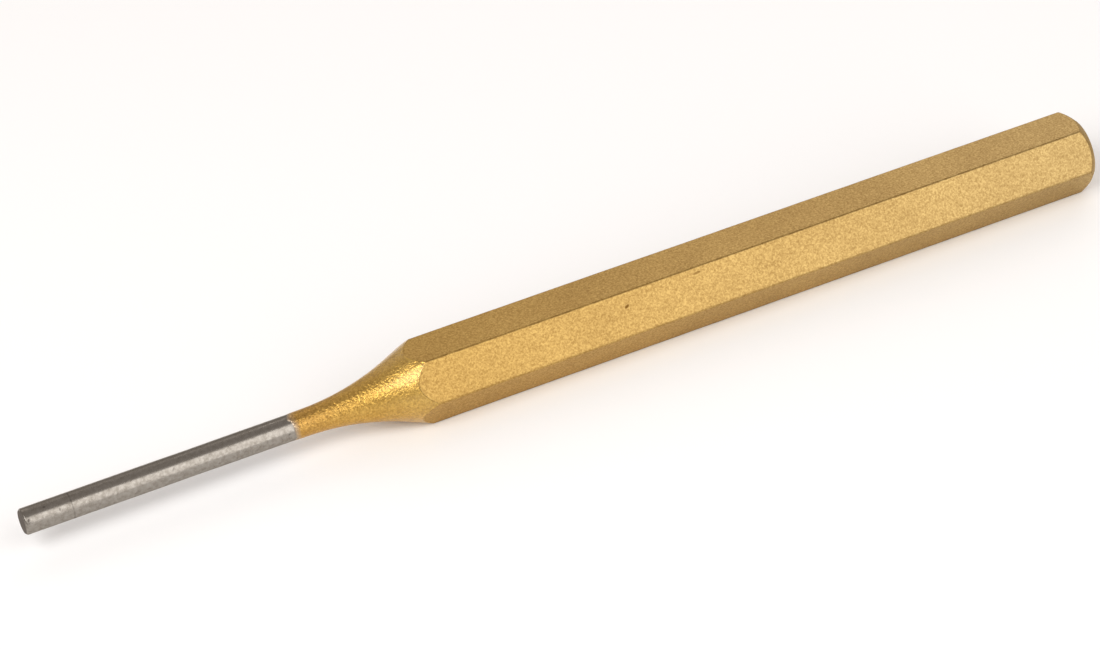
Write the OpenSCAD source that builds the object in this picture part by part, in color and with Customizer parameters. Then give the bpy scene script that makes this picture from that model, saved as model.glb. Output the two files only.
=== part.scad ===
// Pin punch: a hexagonal bar turned down to a neck, a ground round pin set in it, and a lacquer film over the bar.
// The axis is X. The origin is the middle of the pin's tip face, +X runs to the head, and the bar lies on a flat.

/* [Overall] */
// Length from the tip face to the striking face
overall_l = 150; // [130:5:220]

/* [Bar] */
// Width across the flats, over the lacquer
across_flats = 9.8; // [8:0.1:14]
// Depth to which the sharp ridges of the hexagon are taken down
ridge_cut = 0.06; // [0.02:0.01:0.2]

/* [Neck] */
// Length of the slim stretch between the mouth of the neck and its flare
land_l = 1.5; // [0.5:0.25:4]
// Slope of that stretch to the axis
land_taper = 1; // [0.5:0.25:3]
// Radius of the hollow flare, seen from the side, over the lacquer
flare_r = 34.5; // [15:0.5:50]
// Slope to the axis of the cone that runs from the flare out to the ridges
cone_angle = 22; // [15:1:35]

/* [Head] */
// Diameter of the striking face, over the lacquer
striking_d = 8.5; // [5:0.1:8.8]
// Slope of the head's chamfer to the axis
chamfer_angle = 45; // [20:1:60]

/* [Pin] */
// Diameter of the ground pin
pin_d = 3.4; // [2.8:0.1:5]
// Free length of the pin, from its tip face to its shoulder
pin_l = 36.5; // [20:0.5:60]
// Chamfer round the tip face
tip_chamfer = 0.25; // [0.1:0.05:0.6]

/* [Tang] */
// Diameter of the tang that is pressed into the neck
tang_d = 2.2; // [1.6:0.1:2.4]
// Length of the tang behind the pin's shoulder
tang_l = 14; // [8:0.5:18]
// Chamfer that leads the tang into its hole
tang_lead = 0.3; // [0.1:0.05:0.5]
// Free depth left in the hole behind the tang
hole_relief = 0.5; // [0.2:0.1:2]
// Full angle of the drill point at the bottom of the hole
drill_point_angle = 118; // [90:1:140]

/* [Lacquer] */
// Thickness of the film
coat_t = 0.05; // [0.03:0.01:0.1]

/* [Hidden] */
$fn = 96;
// How far a cutting shape runs past the face that it cuts
overrun = 1;
// Half the angle between two ridges of the hexagon
half_side_angle = 30;
pin_r = pin_d / 2;
tang_r = tang_d / 2;
// The bar is flush with the pin at the mouth of the neck, so the film alone stands proud there
mouth_r = pin_r + coat_t / cos(land_taper);
// Centre of the flare's arc, which touches the slim stretch at its far end
flare_centre_r = mouth_r + land_l * tan(land_taper) + flare_r * cos(land_taper);
flare_centre = pin_l + land_l - flare_r * sin(land_taper);
ridge_r = across_flats / 2 / cos(half_side_angle) - ridge_cut;
hole_l = tang_l + hole_relief;
drill_point_l = tang_r / tan(drill_point_angle / 2);

// Striking face radius at a depth under the lacquer: the chamfer and the face both move in by that depth
function face_r(depth) = striking_d / 2 - depth * (1 - sin(chamfer_angle)) / cos(chamfer_angle);

// Half section of the neck, whose cone runs on past the head: [radius, distance from the tip]
module neck_profile(depth, mouth) {
    arc_r = flare_r + depth;
    start_r = flare_centre_r - arc_r * cos(land_taper);
    start = flare_centre + arc_r * sin(land_taper);
    end_r = flare_centre_r - arc_r * cos(cone_angle);
    end = flare_centre + arc_r * sin(cone_angle);
    difference() {
        polygon([
            [0, mouth],
            [start_r - (start - mouth) * tan(land_taper), mouth],
            [start_r, start],
            [end_r, end],
            [end_r + overall_l * tan(cone_angle), end + overall_l],
            [0, end + overall_l],
        ]);
        translate([flare_centre_r, flare_centre]) circle(r = arc_r);
    }
}

// Half section of the bar with its chamfered head, as wide as the softened ridges
module bar_profile(depth, mouth) {
    head = overall_l - depth;
    bar_r = ridge_r - depth;
    polygon([
        [0, mouth],
        [bar_r, mouth],
        [bar_r, head - (bar_r - face_r(depth)) / tan(chamfer_angle)],
        [face_r(depth), head],
        [0, head],
    ]);
}

// The bar with its neck and head, at a depth under the finished surface, cut off at the mouth of the neck
module turned_bar(depth, mouth = pin_l) {
    intersection() {
        rotate_extrude() intersection() {
            neck_profile(depth, mouth);
            bar_profile(depth, mouth);
        }
        rotate([0, 0, half_side_angle])
            cylinder(r = (across_flats / 2 - depth) / cos(half_side_angle), h = overall_l + overrun, $fn = 6);
    }
}

// Blind hole for the tang, with the cone that the drill leaves
module tang_hole() {
    translate([0, 0, pin_l - overrun]) cylinder(r = tang_r, h = hole_l + overrun);
    translate([0, 0, pin_l + hole_l]) cylinder(r1 = tang_r, r2 = 0, h = drill_point_l);
}

// Turns what is built along Z to lie along X
module lay_down() {
    rotate([0, 90, 0]) children();
}

module hex_shank() {
    color("dimgray") lay_down() difference() {
        turned_bar(coat_t);
        tang_hole();
    }
}

module drive_pin() {
    color("silver") lay_down() rotate_extrude() polygon([
        [0, 0],
        [pin_r - tip_chamfer, 0],
        [pin_r, tip_chamfer],
        [pin_r, pin_l],
        [tang_r, pin_l],
        [tang_r, pin_l + tang_l - tang_lead],
        [tang_r - tang_lead, pin_l + tang_l],
        [0, pin_l + tang_l],
    ]);
}

module lacquer_coat() {
    color("goldenrod") lay_down() difference() {
        turned_bar(0);
        turned_bar(coat_t, pin_l - overrun);
    }
}

hex_shank();
drive_pin();
lacquer_coat();
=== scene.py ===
"""Looks of the pin punch: its lacquer film, its ground pin and the bar's steel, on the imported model."""
import logging
import math
from dataclasses import dataclass
from enum import Enum

import bpy
from mathutils import Matrix, Vector, noise


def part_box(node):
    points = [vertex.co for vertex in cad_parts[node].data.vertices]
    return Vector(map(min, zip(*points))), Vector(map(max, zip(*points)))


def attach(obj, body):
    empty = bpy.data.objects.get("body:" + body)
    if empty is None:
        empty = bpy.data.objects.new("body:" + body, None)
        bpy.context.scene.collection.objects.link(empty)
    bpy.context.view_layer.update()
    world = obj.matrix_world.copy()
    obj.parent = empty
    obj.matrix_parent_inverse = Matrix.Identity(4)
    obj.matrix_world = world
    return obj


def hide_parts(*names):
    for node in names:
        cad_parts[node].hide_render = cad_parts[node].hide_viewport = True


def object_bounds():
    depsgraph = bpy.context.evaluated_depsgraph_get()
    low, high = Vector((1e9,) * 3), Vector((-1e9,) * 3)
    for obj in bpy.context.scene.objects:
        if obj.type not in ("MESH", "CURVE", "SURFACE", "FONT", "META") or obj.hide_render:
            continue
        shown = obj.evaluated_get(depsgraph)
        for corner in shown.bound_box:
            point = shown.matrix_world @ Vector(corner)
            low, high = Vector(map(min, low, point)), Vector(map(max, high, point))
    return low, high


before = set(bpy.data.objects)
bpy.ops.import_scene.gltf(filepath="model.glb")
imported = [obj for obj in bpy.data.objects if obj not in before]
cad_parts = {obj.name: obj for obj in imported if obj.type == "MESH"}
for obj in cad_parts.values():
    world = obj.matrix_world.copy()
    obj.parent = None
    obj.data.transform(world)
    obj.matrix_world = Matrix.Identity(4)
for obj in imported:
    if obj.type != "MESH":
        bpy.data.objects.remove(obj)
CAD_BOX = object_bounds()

MM = 0.001
LOG = logging.getLogger("pin_punch")

# Blender's Mix node keeps its amount, its two numbers, its two colours and the mixed colour here
AMOUNT, NUMBER_A, NUMBER_B, COLOUR_A, COLOUR_B, MIXED_COLOUR = 0, 2, 3, 6, 7, 2

# Two numbers that belong together: the ends of a range, in the order in which an effect grows, or a
# profile's place along the punch and out from its axis
Pair = tuple[float, float]
# One closed ring of points round the punch's axis
Ring = list[Vector]


class End(Enum):
    """How a run of rings ends."""

    OPEN = "open"
    CAPPED = "capped"


class Mask(Enum):
    """Where on the film a finish changes, as point values that the mesh carries."""

    THIN = "thin_film"
    TURNED = "turned_film"
    RIM = "rim_film"
    MOUTH = "mouth_film"


def linear(code: str) -> tuple[float, float, float, float]:
    """Turn an sRGB hex colour into linear colour.

    Args:
        code: The colour as six hex digits with a leading #.

    Returns:
        Red, green, blue and an alpha of 1, each from 0 to 1.
    """
    channels = [int(code[i : i + 2], 16) / 255 for i in (1, 3, 5)]
    red, green, blue = (c / 12.92 if c <= 0.04045 else ((c + 0.055) / 1.055) ** 2.4 for c in channels)
    return red, green, blue, 1.0


def per_step(step_mm: float) -> float:
    """Texture scale at which a pattern repeats about every step_mm millimetres."""
    return 1 / (step_mm * MM)


def around(x: float, r: float, turn: float) -> Vector:
    """Place a point x along the punch and r out from its axis, turned in radians from -Y up."""
    return Vector((x, -r * math.cos(turn), r * math.sin(turn)))


def sway(place: Vector) -> float:
    """Give smooth noise at a place, from 0 to 1."""
    return noise.noise(place) * 0.5 + 0.5


def add_node(
    tree: bpy.types.NodeTree, kind: str, inputs: dict[int | str, object] | None = None, **settings: object
) -> bpy.types.Node:
    """Add a node with its settings, its values and its links.

    Args:
        tree: The node tree that gets the node.
        kind: Blender's type name of the node.
        inputs: For each input, by name or place, a value or the output that feeds it.
        settings: The node's own properties.

    Returns:
        The new node.
    """
    node = tree.nodes.new(kind)
    for key, value in settings.items():
        setattr(node, key, value)
    for key, value in (inputs or {}).items():
        if isinstance(value, bpy.types.NodeSocket):
            tree.links.new(value, node.inputs[key])
        else:
            node.inputs[key].default_value = value
    return node


@dataclass(frozen=True)
class Pattern:
    """A cloudy pattern by the size of its clouds, with how much finer detail it has and how far it bends."""

    step_mm: float
    detail: float = 2.0
    fineness: float = 0.55
    bend: float = 0.0


@dataclass(frozen=True)
class Finish:
    """A surface finish, whose patterns read the piece's own coordinates in metres."""

    name: str

    def start(self) -> tuple[bpy.types.Material, bpy.types.NodeTree, bpy.types.NodeSocket]:
        """Make an empty material.

        Returns:
            The material, its node tree and the output that gives a point's place.
        """
        material = bpy.data.materials.new(self.name)
        material.use_nodes = True
        tree = material.node_tree
        tree.nodes.clear()
        place = add_node(tree, "ShaderNodeTexCoord").outputs["Object"]
        return material, tree, place

    def close(self, tree: bpy.types.NodeTree, shader: bpy.types.Node) -> None:
        """Join a shader to the material's output."""
        add_node(tree, "ShaderNodeOutputMaterial", {"Surface": shader.outputs[0]})


@dataclass(frozen=True)
class Mark:
    """A small flaw on the side of the punch, in millimetres and degrees.

    Facing is the turn angle that the surface looks to there, 90 for straight up, and lean turns the
    flaw's length from along the punch towards up. Edge is where it fades in and where it is full, in
    shares of its reach.
    """

    place: tuple[float, float, float]
    facing: float
    lean: float
    length: float
    width: float
    depth: float = 1.0
    edge: Pair = (1.15, 0.5)

    def add_to(self, tree: bpy.types.NodeTree, place: bpy.types.NodeSocket) -> bpy.types.NodeSocket:
        """Add the nodes that find the flaw.

        Args:
            tree: The finish's node tree.
            place: The output that gives a point's place.

        Returns:
            The output that is the flaw's depth inside it and 0 outside, with a soft edge.
        """
        facing, lean = math.radians(self.facing), math.radians(self.lean)
        out = around(0.0, 1.0, facing)
        up = Vector((0, math.sin(facing), math.cos(facing)))
        along = Vector((math.cos(lean), 0, 0)) + up * math.sin(lean)
        across = out.cross(along)
        turned = Matrix((along, across, out)).transposed().to_euler()
        inside = add_node(
            tree, "ShaderNodeMapping",
            {
                "Vector": place,
                "Location": [c * MM for c in self.place],
                "Rotation": turned,
                "Scale": (self.length / 2 * MM, self.width / 2 * MM, self.width * MM),
            },
            vector_type="TEXTURE",
        ).outputs[0]
        far = add_node(tree, "ShaderNodeVectorMath", {0: inside}, operation="LENGTH").outputs["Value"]
        return add_node(
            tree, "ShaderNodeMapRange",
            {"Value": far, "From Min": self.edge[0], "From Max": self.edge[1], "To Max": self.depth},
            interpolation_type="SMOOTHSTEP",
        ).outputs[0]


# The two nicks of the flat that shows widest from the front
FLAT_NICKS = (
    Mark(place=(81.04, -3.77, 3.27), facing=30, lean=25, length=0.85, width=0.42),
    Mark(place=(91.4, -3.22, 4.23), facing=30, lean=3, length=1.3, width=0.4, depth=0.7),
)

# Small dark pits and scuffs along the front of the pin
PIN_PITS = (
    Mark(place=(0.6, -1.37, 1.01), facing=36, lean=60, length=0.5, width=0.32, depth=0.7),
    Mark(place=(4.66, -1.38, 1.0), facing=36, lean=80, length=0.5, width=0.26, depth=0.5),
    Mark(place=(2.96, -0.61, 1.59), facing=69, lean=0, length=0.45, width=0.3, depth=0.5),
    Mark(place=(19.6, -1.35, 1.02), facing=37, lean=50, length=0.7, width=0.24, depth=0.4),
    Mark(place=(34.9, -1.67, 0.3), facing=10, lean=0, length=0.36, width=0.28, depth=0.5),
)


@dataclass(frozen=True)
class GoldLacquer(Finish):
    """Gold metallic spray lacquer over a turned and drawn steel bar.

    Fine brass-coloured flakes lie nearly flat in a clear binder. The eye gets a satin gold that is
    bright where it faces the light and falls off to brown, with a grainy mottle and a glossier glint
    where binder has pooled on the flare. The film is thin along the ridges, so they look darker, and
    it deepens towards the mouth of the neck, where steel shows through its edge. The chamfer at the
    head is tinted a little darker too, partly thin film and partly painted shade.

    Real flakes are a few hundredths of a millimetre wide, too fine to show. So the mottle is drawn a
    quarter of a millimetre wide, its grain half of that and the patches on the neck 0.4 mm.
    """

    # Colours of the film on the neck, by its mouth, on the flats and by the head, then of its shaded
    # mottle, of what is seen edge-on, of steel under the lip, of thin film on ridges, which is also laid
    # lightly over the head's chamfer as partly painted shade, and of a nick
    neck: str = "#e3bb5e"
    near_mouth: str = "#d3a757"
    shank: str = "#c9a55e"
    head: str = "#c3a76e"
    shade: str = "#d6cdc0"
    edge_on: str = "#f9f0df"
    bare: str = "#a39b92"
    thin: str = "#6e5023"
    flaw: str = "#74521f"
    # Gloss of the flakes and, as a coat, of the binder over them, which is lean towards the mouth
    metallic: float = 0.95
    roughness: float = 0.46
    roughness_play: float = 0.05
    neck_roughness: float = 0.35
    rim_roughness: float = 0.72
    coat: float = 0.12
    neck_coat: float = 0.85
    lean_coat_share: float = 0.25
    coat_roughness: float = 0.24
    # Patterns, each by its width in millimetres: the mottle and its grain, the patches on the neck, the
    # wavering wear along the ridges and a slow drift of the shade
    mottle: Pattern = Pattern(0.26, bend=0.6)
    grain: Pattern = Pattern(0.12, detail=1.0)
    patches: Pattern = Pattern(0.4, bend=0.3)
    wander: Pattern = Pattern(1.3)
    drift: Pattern = Pattern(9.0, detail=1.0)
    # Where in its pattern each variation begins and is full, and how strong it is then
    mottle_span: Pair = (0.66, 0.34)
    mottle_depth: float = 1.0
    drift_span: Pair = (0.3, 0.7)
    drift_depth: float = 0.25
    patch_span: Pair = (0.62, 0.36)
    patch_depth: float = 0.35
    gloss_span: Pair = (0.3, 0.7)
    wear_span: Pair = (0.15, 0.6)
    wear_depth: float = 0.75
    # The share of the thin film's dark colour on the head's chamfer: partly thin film, partly painted shade
    rim_shade_and_thin_film: float = 0.2
    # Relief: the height of the mottle, and the shares of it that the other patterns and a nick have
    relief_mm: float = 0.008
    grain_relief: float = 0.35
    patch_relief: float = 17.0
    nick_relief: float = -1.6
    # Stretches along the punch, in millimetres from the tip
    pooled_mm: Pair = (46.0, 51.5)
    neck_mm: Pair = (38.0, 51.0)
    flats_mm: Pair = (55.0, 150.0)
    nicks: tuple[Mark, ...] = FLAT_NICKS

    def gold(
        self, tree: bpy.types.NodeTree, along: bpy.types.NodeSocket, turned: bpy.types.NodeSocket
    ) -> bpy.types.NodeSocket:
        """Add the gold, deep where the film thins out on the neck and paler along the flats to the head.

        Args:
            tree: The finish's node tree.
            along: The output that gives a point's distance from the tip.
            turned: The output that is 1 on the turned neck.

        Returns:
            The colour's output.
        """
        flats, neck = (
            add_node(
                tree, "ShaderNodeMix",
                {
                    AMOUNT: add_node(
                        tree, "ShaderNodeMapRange",
                        {"Value": along, "From Min": stretch[0] * MM, "From Max": stretch[1] * MM},
                    ).outputs[0],
                    COLOUR_A: linear(near),
                    COLOUR_B: linear(far),
                },
                data_type="RGBA",
            ).outputs[MIXED_COLOUR]
            for stretch, near, far in (
                (self.flats_mm, self.shank, self.head),
                (self.neck_mm, self.near_mouth, self.neck),
            )
        )
        return add_node(
            tree, "ShaderNodeMix", {AMOUNT: turned, COLOUR_A: flats, COLOUR_B: neck}, data_type="RGBA",
        ).outputs[MIXED_COLOUR]

    def material(self) -> bpy.types.Material:
        """Build the lacquer's nodes.

        Returns:
            The finished material.
        """
        material, tree, place = self.start()
        along = add_node(tree, "ShaderNodeSeparateXYZ", {0: place}).outputs["X"]
        mottle, grain, patches, wander, drift = (
            add_node(
                tree, "ShaderNodeTexNoise",
                {
                    "Vector": place,
                    "Scale": per_step(pattern.step_mm),
                    "Detail": pattern.detail,
                    "Roughness": pattern.fineness,
                    "Distortion": pattern.bend,
                },
            ).outputs["Fac"]
            for pattern in (self.mottle, self.grain, self.patches, self.wander, self.drift)
        )
        thin, turned, rim, mouth = (
            add_node(tree, "ShaderNodeAttribute", attribute_name=mask.value).outputs["Fac"]
            for mask in (Mask.THIN, Mask.TURNED, Mask.RIM, Mask.MOUTH)
        )
        ragged = add_node(tree, "ShaderNodeMath", {0: thin, 1: wander}, operation="MULTIPLY").outputs[0]
        flakes, slow, patchy, worn = (
            add_node(
                tree, "ShaderNodeMapRange",
                {"Value": pattern, "From Min": span[0], "From Max": span[1], "To Max": depth},
            ).outputs[0]
            for pattern, span, depth in (
                (mottle, self.mottle_span, self.mottle_depth),
                (drift, self.drift_span, self.drift_depth),
                (patches, self.patch_span, self.patch_depth),
                (ragged, self.wear_span, self.wear_depth),
            )
        )
        patchy = add_node(tree, "ShaderNodeMath", {0: patchy, 1: turned}, operation="MULTIPLY").outputs[0]
        # Dark edges: wear along the ridges, and the head's chamfer, darkened partly as painted shade
        edge = add_node(
            tree, "ShaderNodeMath", {0: rim, 1: self.rim_shade_and_thin_film, 2: worn}, operation="MULTIPLY_ADD",
        ).outputs[0]
        dents = [nick.add_to(tree, place) for nick in self.nicks]

        tint = self.gold(tree, along, turned)
        for amount, colour, blend in (
            (flakes, self.shade, "MULTIPLY"),
            (slow, self.shade, "MULTIPLY"),
            (patchy, self.shade, "MULTIPLY"),
            (edge, self.thin, "MIX"),
            (mouth, self.bare, "MIX"),
            *((dent, self.flaw, "MIX") for dent in dents),
        ):
            tint = add_node(
                tree, "ShaderNodeMix", {AMOUNT: amount, COLOUR_A: tint, COLOUR_B: linear(colour)},
                data_type="RGBA", blend_type=blend,
            ).outputs[MIXED_COLOUR]

        on_neck = add_node(
            tree, "ShaderNodeMath", {0: turned, 1: self.patch_relief}, operation="MULTIPLY",
        ).outputs[0]
        height = mottle
        for pattern, share in (
            (grain, self.grain_relief),
            (patches, on_neck),
            *((dent, self.nick_relief) for dent in dents),
        ):
            height = add_node(
                tree, "ShaderNodeMath", {0: pattern, 1: share, 2: height}, operation="MULTIPLY_ADD",
            ).outputs[0]
        relief = add_node(
            tree, "ShaderNodeBump", {"Height": height, "Distance": self.relief_mm * MM, "Strength": 1.0},
        ).outputs[0]

        dull = add_node(
            tree, "ShaderNodeMapRange",
            {
                "Value": mottle,
                "From Min": self.gloss_span[0],
                "From Max": self.gloss_span[1],
                "To Min": self.roughness + self.roughness_play,
                "To Max": self.roughness - self.roughness_play,
            },
        ).outputs[0]
        for amount, roughness in ((turned, self.neck_roughness), (rim, self.rim_roughness)):
            dull = add_node(
                tree, "ShaderNodeMix", {AMOUNT: amount, NUMBER_A: dull, NUMBER_B: roughness},
                data_type="FLOAT",
            ).outputs[0]
        pooled = add_node(
            tree, "ShaderNodeMapRange",
            {
                "Value": along,
                "From Min": self.pooled_mm[0] * MM,
                "From Max": self.pooled_mm[1] * MM,
                "To Min": self.neck_coat * self.lean_coat_share,
                "To Max": self.neck_coat,
            },
        ).outputs[0]
        binder = add_node(
            tree, "ShaderNodeMix", {AMOUNT: turned, NUMBER_A: self.coat, NUMBER_B: pooled},
            data_type="FLOAT",
        ).outputs[0]
        shader = add_node(
            tree, "ShaderNodeBsdfPrincipled",
            {
                "Base Color": tint,
                "Metallic": self.metallic,
                "Roughness": dull,
                "Normal": relief,
                "Specular Tint": linear(self.edge_on),
                "Coat Weight": binder,
                "Coat Roughness": self.coat_roughness,
            },
        )
        self.close(tree, shader)
        return material


@dataclass(frozen=True)
class GroundSteel(Finish):
    """Hardened tool steel, cylindrically ground.

    The wheel leaves fine lines round the pin, so the eye gets a soft grey metal with sharp bands of
    light and dark along it, broken by faint rings, small pits and a warm bloom of handling. The lines
    break up the glare of a surface that is seen edge-on, so its tint there is below white. A thin
    witness line runs round the pin behind the tip, and the tip face is dull.

    Real grinding lines are a few thousandths of a millimetre apart, too fine to show. So the rings
    are drawn 0.22 mm apart.
    """

    bright: str = "#9e9890"
    deep: str = "#867f76"
    pit: str = "#3b342e"
    end: str = "#77706a"
    edge_on: str = "#d2cfca"
    # Gloss, and how far the bloom takes it below and above that
    roughness: float = 0.22
    roughness_play: Pair = (-0.04, 0.08)
    end_roughness: float = 0.8
    anisotropic: float = 0.3
    # Patterns by their width in millimetres, and how far a ring runs round the pin before it changes
    rings: Pattern = Pattern(0.22, detail=3.0, fineness=0.7)
    ring_run_mm: float = 6.0
    clouds: Pattern = Pattern(0.5, detail=3.0, fineness=0.6)
    bloom_span: Pair = (0.35, 0.7)
    gloss_span: Pair = (0.3, 0.7)
    relief_mm: float = 0.0015
    # The dull end and the witness line, in millimetres from the tip
    end_mm: float = 0.12
    witness_mm: float = 6.3
    witness_width_mm: float = 0.16
    witness_depth: float = 0.85
    pits: tuple[Mark, ...] = PIN_PITS

    def material(self) -> bpy.types.Material:
        """Build the ground steel's nodes.

        Returns:
            The finished material.
        """
        material, tree, place = self.start()
        along = add_node(tree, "ShaderNodeSeparateXYZ", {0: place}).outputs["X"]
        round_pin = per_step(self.ring_run_mm)
        rings_at = add_node(
            tree, "ShaderNodeMapping",
            {"Vector": place, "Scale": (per_step(self.rings.step_mm), round_pin, round_pin)},
        ).outputs[0]
        rings, clouds = (
            add_node(
                tree, "ShaderNodeTexNoise",
                {"Vector": at, "Scale": scale, "Detail": pattern.detail, "Roughness": pattern.fineness},
            ).outputs["Fac"]
            for at, scale, pattern in (
                (rings_at, 1.0, self.rings),
                (place, per_step(self.clouds.step_mm), self.clouds),
            )
        )
        bloom = add_node(
            tree, "ShaderNodeMapRange",
            {"Value": clouds, "From Min": self.bloom_span[0], "From Max": self.bloom_span[1]},
        ).outputs[0]
        on_end = add_node(
            tree, "ShaderNodeMapRange", {"Value": along, "From Min": self.end_mm * MM, "From Max": 0.0},
        ).outputs[0]
        from_line = add_node(
            tree, "ShaderNodeMath", {0: along, 1: self.witness_mm * MM}, operation="SUBTRACT",
        ).outputs[0]
        distance = add_node(tree, "ShaderNodeMath", {0: from_line}, operation="ABSOLUTE").outputs[0]
        witness = add_node(
            tree, "ShaderNodeMapRange",
            {
                "Value": distance,
                "From Min": self.witness_width_mm * MM,
                "From Max": 0.0,
                "To Max": self.witness_depth,
            },
            interpolation_type="SMOOTHSTEP",
        ).outputs[0]
        witness = add_node(tree, "ShaderNodeMath", {0: witness, 1: clouds}, operation="MULTIPLY").outputs[0]

        tint = linear(self.bright)
        for amount, colour in (
            (bloom, self.deep),
            (on_end, self.end),
            (witness, self.pit),
            *((pit.add_to(tree, place), self.pit) for pit in self.pits),
        ):
            tint = add_node(
                tree, "ShaderNodeMix", {AMOUNT: amount, COLOUR_A: tint, COLOUR_B: linear(colour)},
                data_type="RGBA",
            ).outputs[MIXED_COLOUR]

        relief = add_node(
            tree, "ShaderNodeBump", {"Height": rings, "Distance": self.relief_mm * MM, "Strength": 1.0},
        ).outputs[0]
        dull = add_node(
            tree, "ShaderNodeMapRange",
            {
                "Value": clouds,
                "From Min": self.gloss_span[0],
                "From Max": self.gloss_span[1],
                "To Min": self.roughness + self.roughness_play[0],
                "To Max": self.roughness + self.roughness_play[1],
            },
        ).outputs[0]
        dull = add_node(
            tree, "ShaderNodeMix", {AMOUNT: on_end, NUMBER_A: dull, NUMBER_B: self.end_roughness},
            data_type="FLOAT",
        ).outputs[0]
        lay = add_node(tree, "ShaderNodeTangent", direction_type="RADIAL", axis="X").outputs[0]
        shader = add_node(
            tree, "ShaderNodeBsdfPrincipled",
            {
                "Base Color": tint,
                "Metallic": 1.0,
                "Roughness": dull,
                "Specular Tint": linear(self.edge_on),
                "Anisotropic": self.anisotropic,
                "Tangent": lay,
                "Normal": relief,
            },
        )
        self.close(tree, shader)
        return material


@dataclass(frozen=True)
class DrawnSteel(Finish):
    """Bright drawn carbon steel bar, degreased for lacquering.

    The die leaves lines along the bar, so the eye gets a satin grey streaked lengthwise. Real lines
    are a few hundredths of a millimetre apart, too fine to show, and are drawn 0.12 mm apart.
    """

    bright: str = "#a9a7a3"
    deep: str = "#86827c"
    lines: Pattern = Pattern(0.12, detail=3.0, fineness=0.5)
    line_run_mm: float = 12.0
    roughness: float = 0.42
    relief_mm: float = 0.002

    def material(self) -> bpy.types.Material:
        """Build the bar steel's nodes.

        Returns:
            The finished material.
        """
        material, tree, place = self.start()
        across = per_step(self.lines.step_mm)
        drawn_at = add_node(
            tree, "ShaderNodeMapping",
            {"Vector": place, "Scale": (per_step(self.line_run_mm), across, across)},
        ).outputs[0]
        lines = add_node(
            tree, "ShaderNodeTexNoise",
            {"Vector": drawn_at, "Scale": 1.0, "Detail": self.lines.detail, "Roughness": self.lines.fineness},
        ).outputs["Fac"]
        tint = add_node(
            tree, "ShaderNodeMix",
            {AMOUNT: lines, COLOUR_A: linear(self.deep), COLOUR_B: linear(self.bright)},
            data_type="RGBA",
        ).outputs[MIXED_COLOUR]
        relief = add_node(
            tree, "ShaderNodeBump", {"Height": lines, "Distance": self.relief_mm * MM},
        ).outputs[0]
        shader = add_node(
            tree, "ShaderNodeBsdfPrincipled",
            {"Base Color": tint, "Metallic": 1.0, "Roughness": self.roughness, "Normal": relief},
        )
        self.close(tree, shader)
        return material


@dataclass(frozen=True)
class StudioPaper(Finish):
    """Matt white photo paper, which gives the eye an even pale ground with soft shadows.

    It is clear from below and for what touches it, so that a view from below shows the punch and
    the flat that it lies on.
    """

    sheet: str = "#fdfdfd"
    touch_mm: float = 0.3

    def material(self) -> bpy.types.Material:
        """Build the paper's nodes.

        Returns:
            The finished material.
        """
        material, tree, _ = self.start()
        paper = add_node(tree, "ShaderNodeBsdfDiffuse", {"Color": linear(self.sheet)}).outputs[0]
        clear = add_node(tree, "ShaderNodeBsdfTransparent").outputs[0]
        below = add_node(tree, "ShaderNodeNewGeometry").outputs["Backfacing"]
        way = add_node(tree, "ShaderNodeLightPath").outputs["Ray Length"]
        touching = add_node(
            tree, "ShaderNodeMath", {0: way, 1: self.touch_mm * MM}, operation="LESS_THAN",
        ).outputs[0]
        unseen = add_node(tree, "ShaderNodeMath", {0: below, 1: touching}, operation="MAXIMUM").outputs[0]
        shader = add_node(tree, "ShaderNodeMixShader", {0: unseen, 1: paper, 2: clear})
        self.close(tree, shader)
        return material


def skin(name: str, rings: list[Ring], start: End, finish: End) -> bpy.types.Object:
    """Join closed rings of equal count into one smooth-shaded mesh.

    Args:
        name: The piece's name.
        rings: The rings in order along the piece, each turning the same way.
        start: Whether the first ring gets a face.
        finish: Whether the last ring gets a face.

    Returns:
        The new object, linked to the scene.
    """
    count = len(rings[0])
    points = [tuple(point) for ring in rings for point in ring]
    faces: list[tuple[int, ...]] = []
    for row in range(len(rings) - 1):
        for i in range(count):
            j = (i + 1) % count
            a, b = row * count, (row + 1) * count
            faces.append((a + i, b + i, b + j, a + j))
    if start is End.CAPPED:
        faces.append(tuple(range(count)))
    if finish is End.CAPPED:
        last = (len(rings) - 1) * count
        faces.append(tuple(last + i for i in reversed(range(count))))
    mesh = bpy.data.meshes.new(name)
    mesh.from_pydata(points, [], faces)
    mesh.validate()
    mesh.shade_smooth()
    piece = bpy.data.objects.new(name, mesh)
    bpy.context.scene.collection.objects.link(piece)
    return piece


def rounded(corners: list[Pair], radii: tuple[float, ...], steps: int) -> list[Pair]:
    """Round the inner corners of a profile with arcs.

    Args:
        corners: The profile's points, as (along, out).
        radii: The radius at each inner corner.
        steps: How many lines make an arc.

    Returns:
        The profile with each inner corner as an arc of one point more than it has lines.
    """
    path = [corners[0]]
    for before, corner, after, radius in zip(corners, corners[1:], corners[2:], radii):
        here = Vector(corner)
        back = (Vector(before) - here).normalized()
        on = (Vector(after) - here).normalized()
        half = back.angle(on) / 2
        reach = radius / math.tan(half)
        centre = here + (back + on).normalized() * (radius / math.sin(half))
        first = here + back * reach - centre
        last = here + on * reach - centre
        sweep = first.angle_signed(last)
        for step in range(steps + 1):
            turned = Matrix.Rotation(-sweep * step / steps, 2) @ first
            path.append(tuple(centre + turned))
    path.append(corners[-1])
    return path


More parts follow.
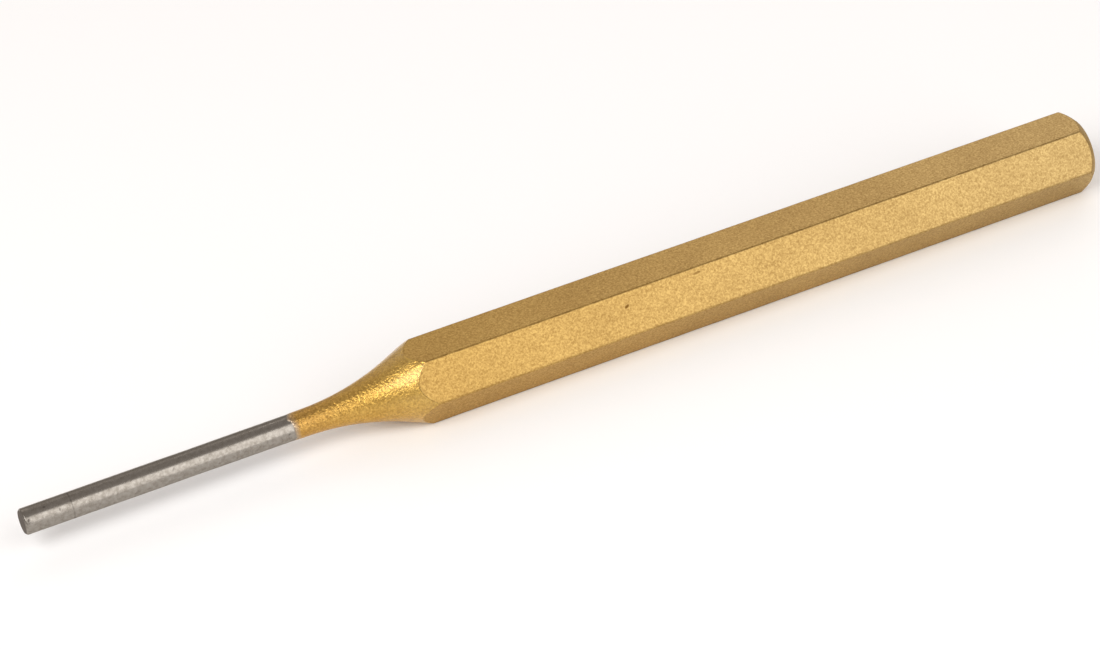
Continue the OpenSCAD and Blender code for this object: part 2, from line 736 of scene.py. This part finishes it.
@dataclass
class LacquerFilm:
    """The gold film over the whole bar: six flats with soft ridges, a flared neck and a chamfered head.

    All sizes are in millimetres and degrees. A turn angle of 90 degrees is straight up and 0 is
    towards -Y.
    """

    finish: GoldLacquer
    half_flats: float
    mouth_x: float
    pin_r: float
    head_x: float
    # The film's form, as the solids have it, with rounder ridges
    sides: int = 6
    ridge_radius: float = 0.4
    land: float = 1.5
    land_taper: float = 1.0
    flare: float = 34.5
    cone: float = 22.0
    striking_r: float = 4.25
    chamfer: float = 45.0
    film: float = 0.05
    # Radii of the soft corners: cone to flats, flats to chamfer, chamfer to striking face
    soft_corners: tuple[float, float, float] = (0.5, 0.3, 0.18)
    # The ragged lip that runs out over the pin, as shares of its reach and of the film's thickness
    lip: float = 0.85
    lip_slope: tuple[Pair, ...] = ((1.0, 0.0), (0.7, 0.3), (0.35, 0.7))
    ragged_edge: float = 0.16
    # How often the lip's edge wavers in a millimetre, and how strongly
    ragged_waves: tuple[Pair, ...] = ((1.1, 1.0), (3.7, 0.5))
    # The tongue by which the lip runs further on one side
    tongue: float = 0.42
    tongue_at: float = 79.0
    tongue_spread: float = 24.0
    # How far the sprayed surface sinks, and over what distance it changes
    sag: float = 0.022
    sag_step: float = 3.0
    # How much each ridge is worn, and how many rings from the face's middle that wear ends
    ridge_wear: tuple[float, ...] = (0.8, 0.55, 0.6, 0.5, 0.6, 0.35)
    ridge_end: int = 12
    # Ring by ring, the rim's finish from inside the striking face's edge, and the lip's from its end
    rim_fade: tuple[float, ...] = (0.2, 0.2, 0.2, 0.35, 0.6, 1.0, 1.0, 1.0, 1.0)
    lip_fade: tuple[float, ...] = (0.8, 0.6, 0.3)
    # Fineness of the mesh, whose body rings are spread over the length that the neck leaves
    flat_steps: int = 14
    ridge_steps: int = 8
    arc_steps: int = 4
    flare_steps: int = 24
    face_shares: tuple[float, ...] = (0.8, 0.55, 0.3, 0.1)
    body_step: float = 0.5
    neck_length: float = 15.0
    # How near to the striking face a point counts as part of it
    face_depth: float = 0.01

    def turns(self) -> list[tuple[float, float, float]]:
        """Lay out the points round the bar.

        Returns:
            For each point its turn angle in radians, its distance out on the hexagon, and how near
            the middle of a ridge it is, from 0 to the ridge's wear.
        """
        side_angle, half_side = 360 / self.sides, math.pi / self.sides
        inner = self.half_flats - self.ridge_radius
        edge = inner * math.tan(half_side)
        reach = inner / math.cos(half_side)
        laid = []
        for side in range(self.sides):
            middle = math.radians(side_angle * (side + 0.5))
            for step in range(self.flat_steps):
                across = edge * (2 * step / self.flat_steps - 1)
                turn = middle + math.atan2(across, self.half_flats)
                laid.append((turn, math.hypot(across, self.half_flats), 0.0))
            for step in range(self.ridge_steps):
                lean = math.radians(side_angle * (step / self.ridge_steps - 0.5))
                out = Vector((reach + self.ridge_radius * math.cos(lean), self.ridge_radius * math.sin(lean)))
                near = math.cos(lean * self.sides / 2) * self.ridge_wear[side]
                laid.append((middle + half_side + math.atan2(out.y, out.x), out.length, near))
        return laid

    def profile(self, out: float) -> tuple[list[Pair], int]:
        """Draw the film's outline from the edge of the lip to the middle of the striking face.

        Args:
            out: The hexagon's distance out at this turn angle.

        Returns:
            The outline, as (along, out), and the place in it where the straight body begins.
        """
        taper, cone, slope = (math.radians(lean) for lean in (self.land_taper, self.cone, self.chamfer))
        mouth_r = self.pin_r + self.film
        centre_x = self.mouth_x + self.land - self.flare * math.sin(taper)
        centre_r = mouth_r + self.land * math.tan(taper) + self.flare * math.cos(taper)
        neck = [
            (self.mouth_x - self.lip * back, self.pin_r + self.film * high) for back, high in self.lip_slope
        ]
        neck.append((self.mouth_x, mouth_r))
        neck.append((self.mouth_x + self.land / 2, mouth_r + self.land / 2 * math.tan(taper)))
        for step in range(self.flare_steps + 1):
            lean = taper + (cone - taper) * step / self.flare_steps
            neck.append((centre_x + self.flare * math.sin(lean), centre_r - self.flare * math.cos(lean)))
        cone_x, cone_r = neck[-1]
        body_from = cone_x + (out - cone_r) / math.tan(cone)
        body_to = self.head_x - (out - self.striking_r) / math.tan(slope)
        outer, *inner = [(self.head_x, self.striking_r * share) for share in self.face_shares]
        corners = [
            ((cone_x + body_from) / 2, (cone_r + out) / 2),
            (body_from, out),
            (body_to, out),
            (self.head_x, self.striking_r),
            outer,
        ]
        soft = rounded(corners, self.soft_corners, self.arc_steps)
        return neck + soft + inner, len(neck) + 1 + self.arc_steps

    def run(self, turn: float) -> float:
        """Find how far the sprayed edge runs on towards the tip.

        Args:
            turn: The turn angle in degrees.

        Returns:
            The extra reach in millimetres, at its most on one side and none round the rest.
        """
        off = (turn - self.tongue_at + 180) % 360 - 180
        return self.tongue * math.exp(-((off / self.tongue_spread) ** 2))

    def sprayed(self, x: float, r: float, turn: float, on_lip: bool) -> Vector:
        """Place a point of the outline with the waver and the sag of the sprayed film.

        Args:
            x: The point's distance along.
            r: Its distance out.
            turn: Its turn angle in radians.
            on_lip: Whether it belongs to the lip over the pin.

        Returns:
            The point, in metres.
        """
        here = around(x, r, turn)
        sink = sway(here / self.sag_step) * self.sag
        if on_lip:
            waver = sum(noise.noise(here * often) * share for often, share in self.ragged_waves)
            x += waver * self.ragged_edge
            x -= self.run(math.degrees(turn))
        elif x >= self.head_x - self.face_depth:
            x -= sink
        else:
            r -= sink
        return around(x, r, turn) * MM

    def share(self, mask: Mask, row: int, rows: int, last_turned: int, near: float) -> float:
        """Find how much of a mask's finish a point takes.

        Args:
            mask: The mask.
            row: The place of the point's ring, counted from the lip.
            rows: How many rings there are.
            last_turned: The place of the neck's last ring.
            near: How near the middle of a ridge the point is.

        Returns:
            The share, from 0 to 1.
        """
        behind = rows - row
        from_face = behind - len(self.face_shares) - 1
        if mask is Mask.TURNED:
            return 1.0 if row <= last_turned else 0.0
        if mask is Mask.RIM:
            return self.rim_fade[from_face] if 0 <= from_face < len(self.rim_fade) else 0.0
        if mask is Mask.MOUTH:
            return self.lip_fade[row] if row < len(self.lip_fade) else 0.0
        return near if last_turned < row and behind > self.ridge_end else 0.0

    def body(self) -> bpy.types.Object:
        """Build the film's mesh.

        Returns:
            The new object.
        """
        turns = self.turns()
        stretches = round((self.head_x - self.mouth_x - self.neck_length) / self.body_step)
        columns = []
        for _, out, _ in turns:
            path, start = self.profile(out)
            (from_x, from_r), (to_x, to_r) = path[start : start + 2]
            middle = [
                (from_x + (to_x - from_x) * step / stretches, from_r + (to_r - from_r) * step / stretches)
                for step in range(1, stretches)
            ]
            columns.append(path[: start + 1] + middle + path[start + 1 :])
        rings: list[Ring] = []
        for row, points in enumerate(zip(*columns)):
            on_lip = row < len(self.lip_slope)
            rings.append([self.sprayed(x, r, turn, on_lip) for (x, r), (turn, _, _) in zip(points, turns)])
        piece = skin("lacquer_film", rings, End.OPEN, End.CAPPED)
        for mask in Mask:
            values = [
                self.share(mask, row, len(rings), start - self.arc_steps, near)
                for row in range(len(rings)) for _, _, near in turns
            ]
            layer = piece.data.attributes.new(mask.value, "FLOAT", "POINT")
            layer.data.foreach_set("value", values)
        shell = piece.modifiers.new("film", "SOLIDIFY")
        shell.thickness = self.film * MM
        shell.offset = -1
        piece.modifiers.new("flat_flats", "WEIGHTED_NORMAL")
        return piece

    def build(self) -> bpy.types.Object:
        """Build and dress the film, and let it stand for its CAD node.

        Returns:
            The finished piece.
        """
        piece = self.body()
        piece.data.materials.append(self.finish.material())
        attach(piece, "root")
        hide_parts("lacquer_coat")
        return piece


@dataclass
class DrivePin:
    """The ground pin with its chamfered tip, the shoulder at the bar's mouth and the tang inside the bar.

    All sizes are in millimetres.
    """

    finish: GroundSteel
    radius: float
    tang_end: float
    # The form, as the solids have it, and the radius of the tip's soft corners
    shoulder_x: float = 36.5
    tang_r: float = 1.1
    tip_chamfer: float = 0.25
    tang_lead: float = 0.3
    soft: float = 0.1
    # The stretch where the wall is slimmer, by how much, and how unevenly the wheel cut
    waist_mm: Pair = (17.5, 27.5)
    waist: float = 0.02
    ripple: float = 0.006
    ripple_step: float = 2.3
    # Fineness of the mesh
    segments: int = 96
    arc_steps: int = 4
    face_share: float = 0.5
    run_in: float = 1.0
    wall_step: float = 0.4

    def wall(self) -> list[Pair]:
        """Draw the wall from behind the tip's chamfer to the shoulder.

        Returns:
            The wall's points, as (along, out).
        """
        start = self.tip_chamfer + self.run_in
        rows = round((self.shoulder_x - start) / self.wall_step)
        waist_from, waist_to = self.waist_mm
        points = []
        for row in range(1, rows + 1):
            x = start + (self.shoulder_x - start) * row / rows
            share = (x - waist_from) / (waist_to - waist_from)
            drop = self.waist * math.sin(math.pi * share) ** 2 if 0 < share < 1 else 0.0
            drop += sway(Vector((x / self.ripple_step, 0.0, 0.0))) * self.ripple
            points.append((x, self.radius - drop))
        return points

    def build(self) -> bpy.types.Object:
        """Build and dress the pin, and let it stand for its CAD node.

        Returns:
            The finished piece.
        """
        corners = [
            (0.0, self.radius * self.face_share),
            (0.0, self.radius - self.tip_chamfer),
            (self.tip_chamfer, self.radius),
            (self.tip_chamfer + self.run_in, self.radius),
        ]
        tip = rounded(corners, (self.soft, self.soft), self.arc_steps)
        tang = [
            (self.shoulder_x, self.tang_r),
            (self.tang_end - self.tang_lead, self.tang_r),
            (self.tang_end, self.tang_r - self.tang_lead),
        ]
        rings: list[Ring] = [
            [around(x, r, math.tau * i / self.segments) * MM for i in range(self.segments)]
            for x, r in tip + self.wall() + tang
        ]
        piece = skin("ground_drive_pin", rings, End.CAPPED, End.CAPPED)
        piece.modifiers.new("true_faces", "WEIGHTED_NORMAL")
        piece.data.materials.append(self.finish.material())
        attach(piece, "root")
        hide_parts("drive_pin")
        return piece


@dataclass
class HexShank:
    """The steel bar under the film, which keeps its CAD shape."""

    finish: DrawnSteel

    def build(self) -> bpy.types.Object:
        """Give the CAD node of the bar its steel.

        Returns:
            The dressed node.
        """
        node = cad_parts["hex_shank"]
        node.data.materials.clear()
        node.data.materials.append(self.finish.material())
        return node


@dataclass(frozen=True)
class SoftBox:
    """A soft light, placed by its direction from the punch. Sizes are in metres and power is in watts."""

    name: str
    toward: tuple[float, float, float]
    distance: float
    width: float
    height: float
    power: float
    colour: str = "#ffffff"

    def build(self, centre: Vector) -> bpy.types.Object:
        """Hang the light.

        Args:
            centre: The point that it looks at, in metres.

        Returns:
            The light.
        """
        lamp = bpy.data.lights.new(self.name, "AREA")
        lamp.shape = "RECTANGLE"
        lamp.size = self.width
        lamp.size_y = self.height
        lamp.energy = self.power
        lamp.color = linear(self.colour)[:3]
        light = bpy.data.objects.new(self.name, lamp)
        direction = Vector(self.toward).normalized()
        light.location = centre + direction * self.distance
        light.rotation_mode = "QUATERNION"
        light.rotation_quaternion = (-direction).to_track_quat("-Z", "Y")
        bpy.context.scene.collection.objects.link(light)
        return light


KEY_BOX = SoftBox(
    name="key_box", toward=(-0.62, -0.38, 0.70), distance=0.8, width=0.48, height=0.48, power=3.45,
)
FRONT_BOX = SoftBox(
    name="front_box", toward=(0.42, -0.80, 0.45), distance=1.0, width=0.85, height=1.32, power=6.35,
)
BACK_BOX = SoftBox(
    name="back_box", toward=(-0.13, 0.80, 0.56), distance=1.0, width=0.42, height=0.6, power=0.35,
    colour="#fff9f5",
)
BACK_RIGHT_BOX = SoftBox(
    name="back_right_box", toward=(0.585, 0.62, 0.525), distance=1.0, width=0.72, height=0.7, power=1.7,
    colour="#fff9f5",
)


@dataclass
class Studio:
    """The paper, the lights and the camera, which looks from the photograph's viewing angle."""

    paper: StudioPaper
    boxes: tuple[SoftBox, ...] = (KEY_BOX, FRONT_BOX, BACK_BOX, BACK_RIGHT_BOX)
    room: str = "#fff7f2"
    room_strength: float = 0.44
    floor_reach: float = 3.0
    floor_steps: int = 8
    # The camera's place from the tip face, its turn from +Y, its tilt and its roll in degrees
    camera_place_mm: tuple[float, float, float] = (-82.238, -381.982, 299.705)
    heading: float = 21.9644
    pitch: float = -35.8922
    roll: float = -6.1142
    picture_width_px: float = 1100.0
    focal_px: float = 4000.0
    clip: Pair = (0.01, 50.0)

    def floor(self, height: float) -> bpy.types.Object:
        """Lay the paper.

        Args:
            height: Its height in metres.

        Returns:
            The floor.
        """
        steps = self.floor_steps
        side = [self.floor_reach * (2 * i / steps - 1) for i in range(steps + 1)]
        points = [(x, y, height) for y in side for x in side]
        wide = steps + 1
        faces = [
            (r * wide + c, r * wide + c + 1, (r + 1) * wide + c + 1, (r + 1) * wide + c)
            for r in range(steps) for c in range(steps)
        ]
        mesh = bpy.data.meshes.new("paper")
        mesh.from_pydata(points, [], faces)
        paper = bpy.data.objects.new("paper", mesh)
        mesh.materials.append(self.paper.material())
        bpy.context.scene.collection.objects.link(paper)
        return paper

    def camera(self) -> bpy.types.Object:
        """Place the camera at the photograph's viewing angle.

        Returns:
            The camera, set as the scene's own.
        """
        lens = bpy.data.cameras.new("photo_view")
        lens.sensor_fit = "HORIZONTAL"
        lens.lens = lens.sensor_width * self.focal_px / self.picture_width_px
        lens.clip_start, lens.clip_end = self.clip
        camera = bpy.data.objects.new("photo_view", lens)
        turn = (
            Matrix.Rotation(-math.radians(self.heading), 4, "Z")
            @ Matrix.Rotation(math.radians(90 + self.pitch), 4, "X")
            @ Matrix.Rotation(math.radians(self.roll), 4, "Z")
        )
        camera.matrix_world = Matrix.Translation(Vector(self.camera_place_mm) * MM) @ turn
        bpy.context.scene.collection.objects.link(camera)
        bpy.context.scene.camera = camera
        return camera

    def build(self, low: Vector, high: Vector) -> None:
        """Set up everything round the punch.

        Args:
            low: The lowest corner of the punch, in metres.
            high: Its highest corner.
        """
        scene = bpy.context.scene
        world = bpy.data.worlds.new("room")
        world.use_nodes = True
        back = world.node_tree.nodes["Background"]
        back.inputs["Color"].default_value = linear(self.room)
        back.inputs["Strength"].default_value = self.room_strength
        scene.world = world
        scene.view_settings.view_transform = "Standard"
        self.floor(low.z)
        for box in self.boxes:
            box.build((low + high) / 2)
        self.camera()


def report(piece: bpy.types.Object) -> None:
    """Log a piece with its size in millimetres."""
    LOG.info("%s: %s mm", piece.name, ", ".join(f"{side / MM:.2f}" for side in piece.dimensions))


def main() -> None:
    """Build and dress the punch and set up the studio."""
    logging.basicConfig(level=logging.INFO, format="%(name)s %(message)s")
    low, high = (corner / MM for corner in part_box("lacquer_coat"))
    _, pin_high = (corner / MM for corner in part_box("drive_pin"))
    shank = HexShank(finish=DrawnSteel("bright_drawn_carbon_steel"))
    pin = DrivePin(
        finish=GroundSteel("cylindrically_ground_tool_steel"), radius=pin_high.z, tang_end=pin_high.x,
    )
    film = LacquerFilm(
        finish=GoldLacquer("gold_metallic_spray_lacquer"),
        half_flats=high.z, mouth_x=low.x, pin_r=pin_high.z, head_x=high.x,
    )
    for part in (shank, pin, film):
        report(part.build())
    bpy.context.view_layer.update()
    Studio(paper=StudioPaper("matt_white_photo_paper")).build(*CAD_BOX)


if __name__ == "__main__":
    main()
